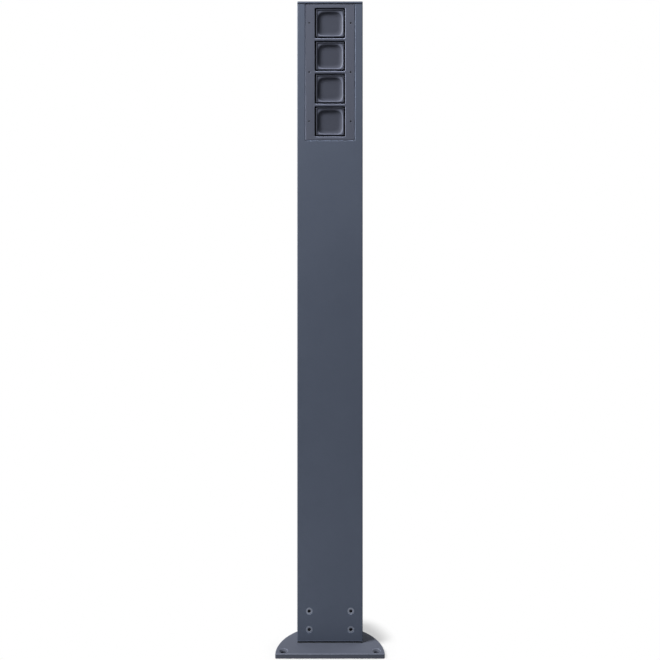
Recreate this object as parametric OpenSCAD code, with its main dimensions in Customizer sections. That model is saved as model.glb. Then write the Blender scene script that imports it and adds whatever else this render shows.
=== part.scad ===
// Free-standing socket post for a garden: a D-shaped aluminium column on a half-round foot
// plate, with four sprung-lid socket outlets behind one flush front panel.
// Millimetres, +Z up, front towards -Y, origin under the middle of the foot plate.

/* [Column] */
// Height of the whole post, foot plate and cap included
post_h = 1400; // [1300:10:1800]
// Width of the column
col_w = 142; // [142:1:150]
// Straight stretch of each side, before the round back
col_straight = 3; // [3:1:12]
// Wall of the column profile
col_wall = 3; // [2.5:0.1:3.4]
// Thickness of the ledges behind the front wall, which back the panel
ledge_t = 3.5; // [3:0.5:4.5]
// Depth of the screw channels behind the ledges
channel_d = 7; // [5:0.5:8]
// Gap between the foot gasket and the column's lower end
foot_gap = 2; // [1:0.5:4]

/* [Cap] */
// Thickness of the cap plate
cap_t = 4; // [3:0.5:8]
// Thickness of the cap's seal, which shows as a shadow line
cap_seal_t = 2; // [1:0.5:4]
// How far the cap seal stays inside the outline
cap_seal_inset = 2; // [1:0.5:3]

/* [Foot] */
// Width of the half-round foot plate
plate_w = 230; // [220:2:300]
// Straight stretch of the plate's sides at the front
plate_straight = 6; // [4:1:12]
// Thickness of the foot plate
plate_t = 10; // [8:1:16]
// Chamfer along the plate's top edge
plate_chamfer = 1; // [0.5:0.5:2]
// Distance from the plate's front edge to the column's front face
plate_margin = 43.5; // [40:0.5:46]
// Distance from the plate's sides to the anchor holes
anchor_side = 17; // [15:0.5:20]
// Distance from the plate's front edge to the anchor holes
anchor_margin = 12.5; // [12:0.5:16]
// Radius of an anchor hole
anchor_r = 5.5; // [4:0.5:6.5]
// Radius of an anchor hole's countersink
anchor_head_r = 9.5; // [8:0.5:10.5]
// Thickness of the gasket under the column
gasket_t = 2; // [1:0.5:3]
// How far the gasket stays inside the column's outline
gasket_inset = 1.5; // [1:0.5:3]

/* [Foot bracket] */
// Thickness of the bracket's flange
flange_t = 8; // [6:1:12]
// Thickness of the bracket's upright plate
upright_t = 11; // [9:1:11]
// Height of the bracket above the foot plate
bracket_h = 88; // [84:1:120]
// Height of the lower column screws above the column's lower end
col_screw_z = 25; // [20:1:30]
// Vertical distance between the column screws
col_screw_pitch = 40; // [30:1:45]
// Radius of the column screws
col_screw_r = 4; // [3:0.5:4]
// Radius of the column screws' heads
col_screw_head_r = 6.8; // [6.5:0.1:7]
// Radius of the way for the supply cable
cable_r = 10; // [6:1:10]

/* [Front panel] */
// Width of the front panel
panel_w = 107; // [104:1:112]
// Gap round the front panel
panel_gap = 0.5; // [0.3:0.1:1]
// Half the distance between the two rows of screws
screw_x = 45; // [44.5:0.5:46]
// Radius of the panel screws
panel_screw_r = 1.5; // [1.2:0.1:1.6]
// Radius of the panel screws' heads
panel_head_r = 2.7; // [2.5:0.1:3.2]
// Thickness of the gasket between panel and socket frames
panel_seal_t = 1; // [0.5:0.5:1.5]

/* [Outlets] */
// Number of outlets, one above another
outlets = 4; // [4:1:4]
// Distance between outlets
pitch = 71; // [71:0.5:74]
// Distance from the top of the column to the first outlet's centre
first_outlet = 41; // [40:1:60]
// Width of each square window in the panel
window_w = 66; // [65.6:0.1:66.6]
// Wall of an outlet's frame
frame_wall = 2.2; // [1.8:0.1:2.2]
// Depth of the recess that the lid closes, from the panel's back
recess_d = 6; // [5.8:0.1:7]
// Radius of the plug well
well_r = 19.9; // [19.5:0.1:20.2]
// Depth of the plug well
well_d = 17.5; // [16:0.5:20]
// Half the distance between the two contact holes
contact_x = 9.5; // [9:0.5:10]
// Radius of a contact hole
contact_r = 2.75; // [2.5:0.05:3]
// Depth of the rear terminal housing
base_d = 13.5; // [12:0.5:16]

/* [Lids] */
// Width of a square lid
lid_w = 59.5; // [58.5:0.1:60]
// Thickness of a lid at its rim
lid_t = 7; // [6.8:0.1:7.2]
// Depth of the hollow in a lid's front
dish_d = 4.6; // [3:0.1:5]
// Width of that hollow
dish_w = 51.5; // [49:0.5:53]
// Width of the raised lip round a lid
lip_w = 1.3; // [1:0.1:2]
// Height of that lip
lip_h = 0.6; // [0.3:0.1:0.8]
// Distance of the hinge axis behind the lid's front
hinge_y = 4.5; // [4.4:0.1:4.6]
// Distance of the hinge axis under the lid's upper edge
hinge_drop = 3.2; // [3:0.1:3.4]
// Radius of the hinge pin
pin_r = 1.25; // [1.1:0.05:1.4]
// Radius of the lid spring's wire
wire_r = 0.4; // [0.3:0.05:0.45]

/* [Hidden] */
$fn = 96;
slack = 0.05;
fit = 0.2;
eps = 0.01;

plate_r = plate_w / 2;
plate_front = -(plate_r + plate_straight) / 2;
plate_corner = 3;
front_y = plate_front + plate_margin;
col_r = col_w / 2;
col_corner = 2;
col_z0 = plate_t + gasket_t + foot_gap;
col_z1 = post_h - cap_t - cap_seal_t;

// Inside the column: distances behind the front face and from the middle
ledge_x = 41;
ledge_back = col_wall + ledge_t;
channel_back = ledge_back + channel_d;
channel_half_w = 4;
slot_back_wall = 2;
port_r = 5;
port_bore_r = 2.1;
port_side = 11;
port_front = [col_r - port_side, ledge_back + 3];
port_back_angle = 50;
port_back_dist = col_r - col_wall - 4;
port_back = [port_back_dist * cos(port_back_angle), col_straight + port_back_dist * sin(port_back_angle)];
ports = [for (s = [-1, 1], p = [port_front, port_back]) [s * p[0], p[1]]];
rail_x = 24.5;
rail_w = 5.5;
rail_lip = 2.6;
rail_slot_t = 2.2;
rail_d = 18;
rail_y = col_straight + col_r - rail_d;
rail_slot_y = rail_y + rail_lip;
rail_slot_d = 3;
cap_screw_len = 16;
cap_screw_r = 2;
cap_head_r = 4;

// Foot bracket
upright_y = channel_back + fit;
flange_side = 7;
flange_half_w = screw_x + flange_side;
flange_inset = 13.5;
gasket_ring_w = 10;
cable_back = 32.5;
cable_y = col_straight + col_r - cable_back;
foot_bolt_r = 4;
foot_bolt_head_r = 8;
foot_bolt_len = plate_t + 6;
front_bolt_side = 12;
back_bolt_side = 39;
back_bolt_back = 34;
front_bolt = [flange_half_w - front_bolt_side, upright_y + upright_t / 2];
back_bolt = [col_r - back_bolt_side, col_straight + col_r - back_bolt_back];
foot_bolts = [for (s = [-1, 1], p = [front_bolt, back_bolt]) [s * p[0], p[1]]];
grommet_wall = 4.9;
grommet_lip = 1;
grommet_rise = 2;
col_screw_len = channel_back + upright_t - 1;
screw_gap = 0.1;

// Outlets: z of each centre
socket_z = [for (i = [0 : outlets - 1]) col_z1 - first_outlet - i * pitch];
panel_z0 = socket_z[outlets - 1] - first_outlet;
panel_z1 = col_z1 - panel_gap / 2;
panel_screw_z = [socket_z[0], (socket_z[0] + socket_z[outlets - 1]) / 2, socket_z[outlets - 1]];
panel_screw_len = channel_back - slot_back_wall - 0.3;
window_corner = 2;
stud_r = 1.5;
stud_x = 38.1;
stud_z = 20;
stud_depth = 1.5;
stud_len = 9.5;
nut_r = 3.1;
nut_t = 2.4;
frame_y = col_wall + panel_seal_t;
frame_half = window_w / 2 + frame_wall;
floor_y = frame_y + recess_d;
floor_t = 2.5;
skirt_d = 4.5;
tab_t = 2.5;
tab_half_h = 4.5;
tab_w = 5.2;
peg_r = 1.5;
peg_at = 26;

// Plug well, clip and contacts, from the column's front face backwards
lid_seal_out = 1.4;
well_y = lid_t + lid_seal_out;
well_wall = 2.7;
well_floor_y = well_y + well_d;
well_floor_t = 2.5;
well_back = well_floor_y + well_floor_t;
well_flange = 28.5;
well_flange_t = 2;
guide_w = 5;
guide_h = 1.8;
clip_t = 0.8;
clip_w = 6;
clip_z = well_r - 1.2;
clip_slot = 0.3;
base_half = 23;
base_back = well_back + base_d;
sleeve_r = 3.6;
sleeve_bore_r = 2.4;

// Lids and hinges, from each outlet's centre
hinge_z = lid_w / 2 - hinge_drop;
lid_corner = 1.5;
lid_skin = 1.4;
ear_x = 22;
ear_t = 3.5;
ear_r = 2.6;
ear_neck = 2.2;
ear_room = 0.4;
notch_r = 3.25;
spring_x = 9.6;
spring_w = 8.8;
spring_turns = 5;
spring_pitch = 1.35;
spring_r = 2.25;
spring_steps = 8;
spring_sides = 6;
spring_leg = 6.5;
seal_r0 = 20.4;
seal_r1 = 22.6;
seal_groove = 0.8;
lid_wall = 2;
dish_slope = 8;
dish_rings = 7;
dish_points = 48;

// Terminals at the back of the column, below the panel
term_plate_h = 55;
term_plate_z = panel_z0 - 60;
term_w = 48;
term_h = 26;
term_d = 13;
term_ways = 5;
term_screw_r = 1.8;
lead_r = 1.5;
lead_y = base_back + 5;

SINGLE = [
    "base_plate", "foot_gasket", "foot_bracket", "foot_bolts", "column_screws",
    "cable_grommet", "column_profile", "top_cap", "cap_seal", "cap_screws",
    "front_panel", "panel_seal", "panel_screws", "panel_studs", "stud_nuts",
    "terminal_plate", "terminal_block", "terminal_screws", "earth_screw", "wiring_leads"
];
REPEATED = [
    "lid", "lid_seal", "hinge_pin", "lid_spring", "socket_frame",
    "plug_well", "earth_clip", "contact_sleeves", "terminal_housing"
];

// Colours
anthracite = [0.33, 0.35, 0.40];
panel_grey = [0.37, 0.39, 0.44];
steel = [0.72, 0.73, 0.75];
rubber = [0.08, 0.08, 0.09];
plastic = [0.12, 0.12, 0.14];
brass = [0.80, 0.65, 0.30];

// Places and directions

module at_front() translate([0, front_y, 0]) children();

module at_outlet(i) translate([0, front_y, socket_z[i - 1]]) children();

// A drawing in (x, z), made solid from depth y0 to depth y1
module slab(y0, y1)
    translate([0, y1, 0]) rotate([90, 0, 0]) linear_extrude(y1 - y0) children();

// A drawing in (y, z), made solid from x0 to x1
module across(x0, x1)
    translate([x0, 0, 0]) rotate([90, 0, 90]) linear_extrude(x1 - x0) children();

// A solid whose axis points backwards, starting at depth y
module backwards(x, y, z) translate([x, y, z]) rotate([-90, 0, 0]) children();

module rounded_square(w, r) {
    square([w - 2 * r, w], center = true);
    square([w, w - 2 * r], center = true);
    for (x = [-1, 1], y = [-1, 1])
        translate([x * (w / 2 - r), y * (w / 2 - r)]) circle(r);
}

// Countersunk screw with a hexagon socket, its head's face at the origin, pointing along +Z
module countersunk(r, head_r, len) {
    head_h = head_r - r;
    socket_r = r * 0.72;
    difference() {
        union() {
            cylinder(r1 = head_r, r2 = r, h = head_h);
            cylinder(r = r, h = len);
        }
        translate([0, 0, -eps]) cylinder(r = socket_r, h = r * 0.9, $fn = 6);
    }
}

// The hole for such a screw
module countersink(r, head_r, len) {
    head_h = head_r - r;
    translate([0, 0, -screw_gap])
        cylinder(r1 = head_r + screw_gap, r2 = r + slack, h = head_h + 2 * screw_gap);
    translate([0, 0, -1]) cylinder(r = r + slack, h = len + 1 + screw_gap);
}

// Column outline in plan, drawn inset by a distance; y = 0 is the front face
module column_outline(inset = 0, corner = 0) {
    start = max(inset, corner);
    intersection() {
        translate([0, col_straight]) circle(col_r - inset, $fn = 180);
        translate([-col_r, max(start, col_straight)]) square([col_w, col_w]);
    }
    if (start < col_straight)
        translate([-(col_r - inset), start]) square([2 * (col_r - inset), col_straight - start]);
    if (corner > 0) {
        translate([-(col_r - corner), 0]) square([2 * (col_r - corner), corner + eps]);
        for (s = [-1, 1]) translate([s * (col_r - corner), corner]) circle(corner);
    }
}

// Foot

module plate_outline() {
    y1 = plate_front + plate_straight;
    intersection() {
        translate([0, y1]) circle(plate_r, $fn = 180);
        translate([-plate_r, y1 - eps]) square([plate_w, plate_w]);
    }
    translate([-plate_r, plate_front + plate_corner])
        square([plate_w, plate_straight - plate_corner]);
    translate([-(plate_r - plate_corner), plate_front])
        square([plate_w - 2 * plate_corner, plate_corner + eps]);
    for (s = [-1, 1])
        translate([s * (plate_r - plate_corner), plate_front + plate_corner]) circle(plate_corner);
}

module plate_edge_cut() {
    c = plate_chamfer;
    t = plate_t;
    r = plate_r;
    f = plate_front;
    translate([0, f + plate_straight, 0])
        rotate_extrude(angle = 180, $fn = 180)
            polygon([[r - c - 1, t + 1], [r + 1, t + 1], [r + 1, t - c - 1]]);
    across(-r, r) polygon([[f - 1, t - c - 1], [f - 1, t + 1], [f + c + 1, t + 1]]);
}

module base_plate() {
    color(anthracite)
    difference() {
        linear_extrude(plate_t) plate_outline();
        plate_edge_cut();
        for (s = [-1, 1]) {
            translate([s * (plate_r - anchor_side), plate_front + anchor_margin, 0]) {
                translate([0, 0, -1]) cylinder(r = anchor_r, h = plate_t + 2);
                translate([0, 0, plate_t - (anchor_head_r - anchor_r)])
                    cylinder(r1 = anchor_r, r2 = anchor_head_r + eps, h = anchor_head_r - anchor_r + eps);
            }
        }
        at_front() {
            translate([0, cable_y, -1]) cylinder(r = cable_r + grommet_wall + slack, h = plate_t + 2);
            for (p = foot_bolts)
                translate([p[0], p[1], 0]) countersink(foot_bolt_r, foot_bolt_head_r, plate_t + 1);
        }
    }
}

module foot_gasket() {
    color(rubber)
    at_front() translate([0, 0, plate_t]) linear_extrude(gasket_t) difference() {
        column_outline(gasket_inset);
        column_outline(gasket_inset + gasket_ring_w);
    }
}

module bracket_outline(depth) {
    intersection() {
        column_outline(flange_inset);
        translate([-flange_half_w, upright_y]) square([2 * flange_half_w, depth]);
    }
}

module foot_bracket() {
    gusset_t = 6;
    gusset_y1 = 50;
    gusset_z1 = 72;
    notch_half_w = 27;
    notch_z = 56;
    color(steel)
    at_front() difference() {
        union() {
            translate([0, 0, plate_t]) {
                linear_extrude(flange_t) bracket_outline(col_w);
                linear_extrude(bracket_h) bracket_outline(upright_t);
            }
            for (s = [0, 1])
                mirror([s, 0, 0]) across(flange_half_w - gusset_t, flange_half_w)
                    intersection() {
                        polygon([
                            [upright_y + eps, plate_t + flange_t - eps],
                            [gusset_y1 - 18, plate_t + flange_t - eps],
                            [upright_y + upright_t - eps, gusset_z1],
                            [upright_y + eps, gusset_z1]
                        ]);
                        square([gusset_y1, gusset_z1]);
                    }
        }
        translate([-notch_half_w, upright_y - 1, notch_z])
            cube([2 * notch_half_w, upright_t + 2, bracket_h]);
        translate([0, cable_y, plate_t - 1])
            cylinder(r = cable_r + grommet_wall + grommet_lip + fit, h = flange_t + grommet_rise + 2);
        for (p = foot_bolts)
            translate([p[0], p[1], 0]) cylinder(r = foot_bolt_r + slack, h = foot_bolt_len + screw_gap);
        column_screw_places()
            cylinder(r = col_screw_r + slack, h = col_screw_len + screw_gap);
    }
}

module foot_bolts() {
    color(steel)
    at_front() for (p = foot_bolts)
        translate([p[0], p[1], 0]) countersunk(foot_bolt_r, foot_bolt_head_r, foot_bolt_len);
}

module cable_grommet() {
    r1 = cable_r + grommet_wall;
    z0 = plate_t - 6;
    z1 = plate_t + flange_t;
    color(rubber)
    at_front() translate([0, cable_y, 0]) rotate_extrude()
        polygon([
            [cable_r, z0], [r1 - 1, z0], [r1, z0 + 1], [r1, plate_t],
            [r1 + grommet_lip, plate_t], [r1 + grommet_lip, plate_t + 3],
            [r1 - 1.5, z1 + grommet_rise], [cable_r, z1 + grommet_rise]
        ]);
}

// The four screws through the column's front into the bracket; y = 0 is the front face
module column_screw_places() {
    for (x = [-screw_x, screw_x], k = [0, 1])
        backwards(x, 0, col_z0 + col_screw_z + k * col_screw_pitch) children();
}

module column_screws() {
    color(steel)
    at_front() column_screw_places() countersunk(col_screw_r, col_screw_head_r, col_screw_len);
}

// Column

// Half of the profile's inner walls: ledge, screw channel, screw ports and plate rail
module profile_inside() {
    intersection() {
        column_outline(0, col_corner);
        union() {
            translate([ledge_x, col_wall - eps]) square([col_r, ledge_t + eps]);
            translate([screw_x - channel_half_w, col_wall - eps])
                square([2 * channel_half_w, channel_back - col_wall + eps]);
            for (p = [port_front, port_back]) translate(p) circle(port_r);
            translate([rail_x, rail_y]) square([rail_w, col_r]);
        }
    }
}

module profile_section() {
    slot_w = 2 * (panel_screw_r + slack);
    difference() {
        union() {
            difference() {
                column_outline(0, col_corner);
                column_outline(col_wall);
            }
            for (s = [0, 1]) mirror([s, 0]) profile_inside();
        }
        for (p = ports) translate(p) circle(port_bore_r);
        for (s = [0, 1]) mirror([s, 0]) {
            translate([screw_x - slot_w / 2, col_wall]) square([slot_w, channel_back - slot_back_wall - col_wall]);
            translate([rail_x - eps, rail_slot_y]) square([rail_slot_d, rail_slot_t]);
        }
    }
}

module column_profile() {
    window_half = panel_w / 2 + panel_gap;
    color(anthracite)
    at_front() difference() {
        translate([0, 0, col_z0]) linear_extrude(col_z1 - col_z0) profile_section();
        translate([-window_half, -1, panel_z0 - panel_gap])
            cube([2 * window_half, col_wall + 1, post_h]);
        column_screw_places() countersink(col_screw_r, col_screw_head_r, channel_back + 1);
    }
}

// Cap

module top_cap() {
    color(anthracite)
    at_front() translate([0, 0, post_h]) mirror([0, 0, 1]) difference() {
        linear_extrude(cap_t) column_outline(0, col_corner);
        for (p = ports) translate([p[0], p[1], 0]) countersink(cap_screw_r, cap_head_r, cap_t + 1);
    }
}

module cap_seal() {
    ring_w = 9;
    color(rubber)
    at_front() translate([0, 0, col_z1]) linear_extrude(cap_seal_t) difference() {
        column_outline(cap_seal_inset);
        difference() {
            column_outline(cap_seal_inset + ring_w);
            for (p = ports) translate(p) circle(port_r);
        }
        for (p = ports) translate(p) circle(cap_screw_r + slack);
    }
}

module cap_screws() {
    color(steel)
    at_front() for (p = ports)
        translate([p[0], p[1], post_h]) mirror([0, 0, 1])
            countersunk(cap_screw_r, cap_head_r, cap_screw_len);
}

// Front panel

module panel_windows() {
    for (z = socket_z) translate([0, z]) rounded_square(window_w, window_corner);
}

module panel_screw_places() {
    for (x = [-screw_x, screw_x], z = panel_screw_z) backwards(x, 0, z) children();
}

module stud_places(y) {
    for (x = [-stud_x, stud_x], z = socket_z, s = [-stud_z, stud_z]) backwards(x, y, z + s) children();
}

module front_panel() {
    color(panel_grey)
    at_front() difference() {
        slab(0, col_wall) difference() {
            translate([-panel_w / 2, panel_z0]) square([panel_w, panel_z1 - panel_z0]);
            panel_windows();
        }
        panel_screw_places() countersink(panel_screw_r, panel_head_r, col_wall + 1);
        stud_places(col_wall - stud_depth) cylinder(r = stud_r + slack, h = stud_depth + 1);
    }
}

module panel_seal() {
    half_w = ledge_x - fit;
    margin = 0.4;
    color(rubber)
    at_front() slab(col_wall, col_wall + panel_seal_t) difference() {
        translate([-half_w, panel_z0 + margin]) square([2 * half_w, panel_z1 - panel_z0 - 2 * margin]);
        panel_windows();
        for (x = [-stud_x, stud_x], z = socket_z, s = [-stud_z, stud_z])
            translate([x, z + s]) circle(stud_r + slack);
    }
}

module panel_screws() {
    color(steel)
    at_front() panel_screw_places() countersunk(panel_screw_r, panel_head_r, panel_screw_len);
}

module panel_studs() {
    color(steel)
    at_front() stud_places(col_wall - stud_depth) cylinder(r = stud_r, h = stud_len);
}

module stud_nuts() {
    color(steel)
    at_front() stud_places(frame_y + tab_t) difference() {
        rotate(30) cylinder(r = nut_r, h = nut_t, $fn = 6);
        translate([0, 0, -1]) cylinder(r = stud_r + slack, h = nut_t + 2);
    }
}

// Outlets

// Frame: recess for the lid, hinge ears, tabs for the studs and pegs for the well
module socket_frame() {
    color(plastic)
    difference() {
        union() {
            difference() {
                slab(frame_y, floor_y + floor_t + skirt_d) square(2 * frame_half, center = true);
                slab(frame_y - 1, floor_y) rounded_square(window_w, window_corner);
                slab(floor_y + floor_t, floor_y + floor_t + skirt_d + 1)
                    rounded_square(window_w, window_corner);
            }
            slab(frame_y, frame_y + tab_t)
                for (x = [-1, 1], z = [-1, 1])
                    translate([x * (frame_half + tab_w / 2), z * stud_z])
                        square([tab_w + eps, 2 * tab_half_h], center = true);
            for (x = [-1, 1], z = [-1, 1])
                backwards(x * peg_at, floor_y + floor_t - eps, z * peg_at)
                    cylinder(r = peg_r, h = well_flange_t + 1);
            for (s = [0, 1]) mirror([s, 0, 0]) hinge_ear();
        }
        backwards(0, floor_y - 1, 0) cylinder(r = well_r + well_wall + fit, h = floor_t + 2);
        for (x = [-stud_x, stud_x], z = [-stud_z, stud_z])
            backwards(x, frame_y - 1, z) cylinder(r = stud_r + fit, h = tab_t + 2);
    }
}

module hinge_ear() {
    across(ear_x, ear_x + ear_t) difference() {
        union() {
            translate([hinge_y, hinge_z]) circle(ear_r);
            translate([hinge_y, hinge_z - ear_neck])
                square([floor_y - hinge_y + eps, 2 * ear_neck]);
        }
        translate([hinge_y, hinge_z]) circle(pin_r + slack);
    }
}

// Plug well of an earthed socket with side clips: round cup, guide ribs, contact holes
module plug_well() {
    r1 = well_r + well_wall;
    flange_y = floor_y + floor_t;
    color(plastic)
    difference() {
        union() {
            difference() {
                backwards(0, well_y, 0) cylinder(r = r1, h = well_back - well_y);
                backwards(0, well_y - 1, 0) cylinder(r = well_r, h = well_d + 1);
            }
            slab(flange_y, flange_y + well_flange_t) difference() {
                rounded_square(2 * well_flange, window_corner);
                circle(r1 - eps);
            }
            for (s = [0, 1])
                mirror([s, 0, 0]) slab(well_y + 2, well_floor_y + eps) intersection() {
                    translate([well_r - guide_h, -guide_w / 2]) square([guide_h + 1, guide_w]);
                    circle(well_r + 1);
                }
        }
        for (s = [-1, 1])
            backwards(s * contact_x, well_floor_y - 1, 0) cylinder(r = contact_r, h = well_floor_t + 2);
        slab(well_floor_y - eps, well_back + 1)
            for (s = [-1, 1])
                translate([0, s * clip_z])
                    square([clip_w + 2 * clip_slot, clip_t + 2 * clip_slot], center = true);
        for (x = [-1, 1], z = [-1, 1])
            backwards(x * peg_at, flange_y - 1, z * peg_at)
                cylinder(r = peg_r + screw_gap, h = well_flange_t + 2);
    }
}

// One side of a bent strip, a distance d to the left of a route in (y, z)
function way(a, b) = (b - a) / norm(b - a);
function left(v) = [-v[1], v[0]];
function strip_side(route, d) =
    let (last = len(route) - 1)
    [for (k = [0 : last])
        let (
            before = left(way(route[max(k - 1, 0)], route[max(k, 1)])),
            after = left(way(route[min(k, last - 1)], route[min(k + 1, last)])),
            mitre = (before + after) / norm(before + after)
        )
        route[k] + d * mitre / (mitre * before)];

module strip(route, t) {
    right_side = strip_side(route, -t / 2);
    polygon(concat(
        strip_side(route, t / 2),
        [for (k = [len(route) - 1 : -1 : 0]) right_side[k]]
    ));
}

// Spring clip: a tongue above and one below, bulged towards the plug, joined by a strap behind
module earth_clip() {
    strap_y = well_back + clip_t;
    bulge = 1.6;
    tip_y = well_y + 3;
    color(brass)
    across(-clip_w / 2, clip_w / 2)
        strip([
            [tip_y, clip_z + 0.2], [tip_y + 3, clip_z - bulge], [tip_y + 8, clip_z],
            [strap_y, clip_z], [strap_y, -clip_z],
            [tip_y + 8, -clip_z], [tip_y + 3, -(clip_z - bulge)], [tip_y, -(clip_z + 0.2)]
        ], clip_t);
}

// Two sprung sleeves behind the contact holes, slit so that they grip the pins
module contact_sleeves() {
    slit_w = 0.8;
    len = base_d;
    color(brass)
    for (s = [-1, 1])
        translate([s * contact_x, 0, 0]) difference() {
            backwards(0, well_back, 0) cylinder(r = sleeve_r, h = len);
            backwards(0, well_back - 1, 0) cylinder(r = sleeve_bore_r, h = len - 2);
            translate([-slit_w / 2, well_back - 1, -sleeve_r - 1]) cube([slit_w, len - 4, 2 * sleeve_r + 2]);
        }
}

// Rear housing round the contacts, with a channel for the clip's strap
module terminal_housing() {
    corner_cut = 5;
    b = base_half;
    strap_room = clip_t * 1.5 + clip_slot;
    color(plastic)
    difference() {
        slab(well_back, base_back) polygon([
            [-b, -b + corner_cut], [-b + corner_cut, -b], [b - corner_cut, -b], [b, -b + corner_cut],
            [b, b - corner_cut], [b - corner_cut, b], [-b + corner_cut, b], [-b, b - corner_cut]
        ]);
        for (s = [-1, 1])
            backwards(s * contact_x, well_back - 1, 0) cylinder(r = sleeve_r + screw_gap, h = base_d + 2);
        slab(well_back - 1, well_back + strap_room)
            square([clip_w + 2 * clip_slot, 2 * clip_z + clip_t + 2 * clip_slot], center = true);
        for (z = [-1, 1])
            translate([0, base_back, z * (b - 5)]) rotate([90, 0, 0])
                cylinder(r = 2.5, h = 8);
    }
}

// Lids

function spow(v, e) = sign(v) * pow(abs(v), e);

// Ring of a rounded square with half width a, at depth y; a higher power is squarer
function squircle(a, y, power, n) =
    [for (k = [0 : n - 1]) let (t = 360 * (k + 0.5) / n)
        [a * spow(cos(t), 2 / power), y, a * spow(sin(t), 2 / power)]];

// Solid through rings of n points each, closed by its first and last ring
module loft(rings, n) {
    m = len(rings);
    polyhedron(
        points = [for (r = rings) each r],
        faces = concat(
            [[for (k = [0 : n - 1]) n - 1 - k]],
            [for (j = [0 : m - 2], k = [0 : n - 1])
                each [[j * n + k, j * n + (k + 1) % n, (j + 1) * n + k],
                      [j * n + (k + 1) % n, (j + 1) * n + (k + 1) % n, (j + 1) * n + k]]],
            [[for (k = [0 : n - 1]) (m - 1) * n + k]]
        )
    );
}

// The hollow of a lid, its walls curving into the floor; grown makes the bulge behind it
module dish(grown, n, steps) {
    half = dish_w / 2 + grown;
    depth = dish_d + grown;
    loft(concat(
        [squircle(half, -1, 5, n)],
        [for (k = [0 : steps]) let (s = 90 * k / steps)
            squircle(half - dish_slope * (1 - cos(s)), depth * sin(s), 5 - 1.6 * k / steps, n)]
    ), n);
}

module lid() {
    skirt = lid_w / 2 - lid_wall;
    pocket_z1 = hinge_z - notch_r - 1.5;
    color(anthracite)
    difference() {
        slab(0, lid_t) rounded_square(lid_w, lid_corner);
        slab(-1, lip_h) rounded_square(lid_w - 2 * lip_w, lid_corner);
        dish(0, dish_points, dish_rings);
        difference() {
            slab(lid_t - 3.8, lid_t + 1) intersection() {
                square(2 * skirt, center = true);
                translate([-skirt, -skirt]) square([2 * skirt, skirt + pocket_z1]);
            }
            dish(lid_wall, dish_points / 2, dish_rings - 1);
            backwards(0, 0, 0) cylinder(r = seal_r1 + 1.2, h = lid_t + 2);
        }
        backwards(0, lid_t - seal_groove, 0) difference() {
            cylinder(r = seal_r1, h = lid_t);
            translate([0, 0, -1]) cylinder(r = seal_r0, h = lid_t + 2);
        }
        across(-lid_w, lid_w) translate([hinge_y, hinge_z]) circle(pin_r + slack + 0.03);
        for (s = [0, 1]) mirror([s, 0, 0]) hinge_notch(ear_x - ear_room, ear_x + ear_t + ear_room);
        hinge_notch(spring_x, spring_x + spring_w);
        across(spring_x + spring_w - 2, spring_x + spring_w)
            translate([hinge_y + 1, hinge_z - spring_leg - 1]) square([lid_t, spring_leg + 1]);
    }
}

// Room in a lid for an ear or the spring, open at the back and the top, behind a thin skin
module hinge_notch(x0, x1) {
    across(x0, x1) translate([lid_skin, hinge_z - notch_r])
        square([lid_t, lid_w]);
}

module lid_seal() {
    color(rubber)
    backwards(0, lid_t - seal_groove, 0) difference() {
        cylinder(r = seal_r1 - slack, h = seal_groove + lid_seal_out - slack);
        translate([0, 0, -1]) cylinder(r = seal_r0 + slack, h = 6);
    }
}

module hinge_pin() {
    half = lid_w / 2 - 0.7;
    color(steel)
    across(-half, half) translate([hinge_y, hinge_z]) circle(pin_r);
}

// Torsion spring round the hinge pin: its centre line, one leg on the frame and one on the lid
function spring_point(turn) =
    let (a = 360 * turn)
    [spring_x + 1.1 + spring_pitch * turn, hinge_y + spring_r * sin(a), hinge_z + spring_r * cos(a)];

spring_line = concat(
    [[spring_x + 1.1, floor_y - wire_r - fit, hinge_z + spring_r]],
    [for (k = [0 : spring_steps * spring_turns + 2]) spring_point(k / spring_steps)],
    [[spring_x + 1.1 + spring_pitch * (spring_turns + 0.25), hinge_y + spring_r, hinge_z - spring_leg]]
);

function unit(v) = v / norm(v);

// Ring of the wire at a point, square to the way the line runs there
function wire_ring(line, k) =
    let (
        before = line[max(k - 1, 0)],
        after = line[min(k + 1, len(line) - 1)],
        way = unit(after - before),
        side = unit(cross(way, [0.9, 0.3, 0.31])),
        up = cross(way, side)
    )
    [for (j = [0 : spring_sides - 1]) let (t = 360 * j / spring_sides)
        line[k] + wire_r * (cos(t) * side + sin(t) * up)];

// Least gap between turns of the spring, away from neighbouring points
spring_gap = min([
    for (a = [1 : len(spring_line) - 2], b = [a + spring_steps - 2 : 1 : len(spring_line) - 2])
        norm(spring_line[a] - spring_line[b]) - 2 * wire_r
]);
echo(spring_gap = spring_gap);

module lid_spring() {
    color(steel) loft([for (k = [0 : len(spring_line) - 1]) wire_ring(spring_line, k)], spring_sides);
}

// Terminals and wiring inside the column

term_y = rail_slot_y + (rail_slot_t - 2) / 2;

module terminal_plate() {
    half_w = rail_x + rail_slot_d - fit;
    color(steel)
    at_front() difference() {
        slab(term_y, term_y + 2)
            translate([-half_w, term_plate_z]) square([2 * half_w, term_plate_h]);
        backwards(0, term_y - 1, term_plate_z + 8) cylinder(r = 2 + slack, h = 4);
    }
}

module terminal_places() {
    step = term_w / term_ways;
    for (k = [0 : term_ways - 1], s = [-1, 1])
        translate([(k - (term_ways - 1) / 2) * step, term_y - term_d, term_plate_z + 34 + s * 7.5])
            rotate([-90, 0, 0]) children();
}

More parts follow.
